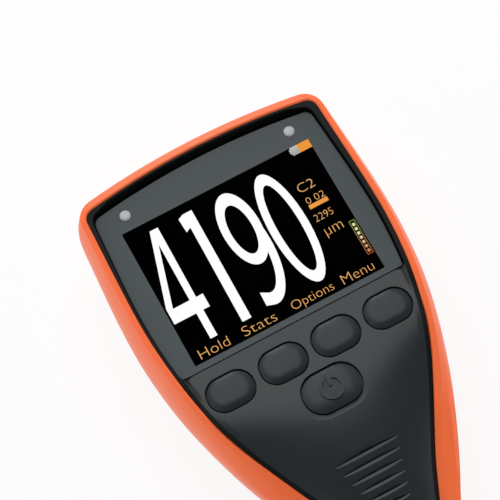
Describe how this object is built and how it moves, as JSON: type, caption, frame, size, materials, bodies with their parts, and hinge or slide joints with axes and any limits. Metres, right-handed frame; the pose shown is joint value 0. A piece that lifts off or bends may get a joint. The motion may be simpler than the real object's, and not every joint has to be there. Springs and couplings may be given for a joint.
{
  "type": "coating thickness gauge",
  "caption": "Handheld coating thickness gauge with a broad display head, soft keys, a tapering grip and a sprung measuring probe at the narrow end.",
  "frame": {"origin": "middle of the box that holds the part, on the surface it lies on", "axes": "+X right, +Y toward the head end, +Z out of the display; the part lies on its back"},
  "size_m": [0.075, 0.141, 0.037],
  "materials": {
    "shell_orange": "fine satin",
    "panel_dark": "fine matte",
    "key_rubber": "soft matte",
    "window": "smooth, dark printed border",
    "seal_black": "matte",
    "display": "glossy",
    "lamp": "milky, clear",
    "inner_dark": "matte",
    "inner_white": "matte",
    "board": "lacquered",
    "cell_wrap": "smooth film",
    "contact": "plated",
    "steel": "brushed",
    "tip": "polished"
  },
  "bodies": {
    "case": {"front_frame": "shell_orange", "rear_case": "shell_orange", "front_panel": "panel_dark", "display_window": "window", "window_gasket": "seal_black", "lcd_module": "display", "display_carrier": "inner_white", "main_board": "board", "lamp_left": "lamp", "lamp_right": "lamp", "key_switches": "inner_dark", "data_socket": "steel", "battery_tray": "inner_dark", "battery_contacts": "contact", "battery_springs": "steel", "cell_left": "cell_wrap", "cell_right": "cell_wrap", "battery_cover": "panel_dark", "battery_seal": "seal_black", "case_screws": "steel", "strap_bar": "steel", "probe_collar": "inner_dark", "probe_spring": "steel"},
    "soft_key_1": {"soft_key_1": "key_rubber"},
    "soft_key_2": {"soft_key_2": "key_rubber"},
    "soft_key_3": {"soft_key_3": "key_rubber"},
    "soft_key_4": {"soft_key_4": "key_rubber"},
    "power_key": {"power_key": "key_rubber"},
    "latch": {"latch_spindle": "steel", "latch_cam": "steel"},
    "latch_ring": {"latch_ring": "steel"},
    "socket_flap": {"socket_flap": "seal_black"},
    "probe": {"probe_sleeve": "steel", "probe_tip": "tip"}
  },
  "joints": [
    {"name": "soft_key_1_press", "type": "slide", "parent": "case", "child": "soft_key_1", "axis": [0, 0, -1], "range_m": [0, 0.0008], "stiffness_N_per_m": 1500, "springref_m": -0.0003},
    {"name": "soft_key_2_press", "type": "slide", "parent": "case", "child": "soft_key_2", "axis": [0, 0, -1], "range_m": [0, 0.0008], "stiffness_N_per_m": 1500, "springref_m": -0.0003},
    {"name": "soft_key_3_press", "type": "slide", "parent": "case", "child": "soft_key_3", "axis": [0, 0, -1], "range_m": [0, 0.0008], "stiffness_N_per_m": 1500, "springref_m": -0.0003},
    {"name": "soft_key_4_press", "type": "slide", "parent": "case", "child": "soft_key_4", "axis": [0, 0, -1], "range_m": [0, 0.0008], "stiffness_N_per_m": 1500, "springref_m": -0.0003},
    {"name": "power_key_press", "type": "slide", "parent": "case", "child": "power_key", "axis": [0, 0, -1], "range_m": [0, 0.0008], "stiffness_N_per_m": 1500, "springref_m": -0.0003},
    {"name": "probe_press", "type": "slide", "parent": "case", "child": "probe", "axis": [0, 1, 0], "range_m": [0, 0.0034], "stiffness_N_per_m": 500, "springref_m": -0.0015, "deforming": ["probe_spring"]},
    {"name": "latch_turn", "type": "hinge", "parent": "case", "child": "latch", "pos_m": [0, -0.0082, 0.004], "axis": [0, 0, 1], "range_deg": [0, 90]},
    {"name": "latch_ring_lift", "type": "hinge", "parent": "latch", "child": "latch_ring", "pos_m": [0, -0.0082, 0.0013], "axis": [1, 0, 0], "range_deg": [0, 90]},
    {"name": "socket_flap_open", "type": "hinge", "parent": "case", "child": "socket_flap", "pos_m": [0, 0.0696, 0.019], "axis": [-1, 0, 0], "range_deg": [0, 95]}
  ]
}
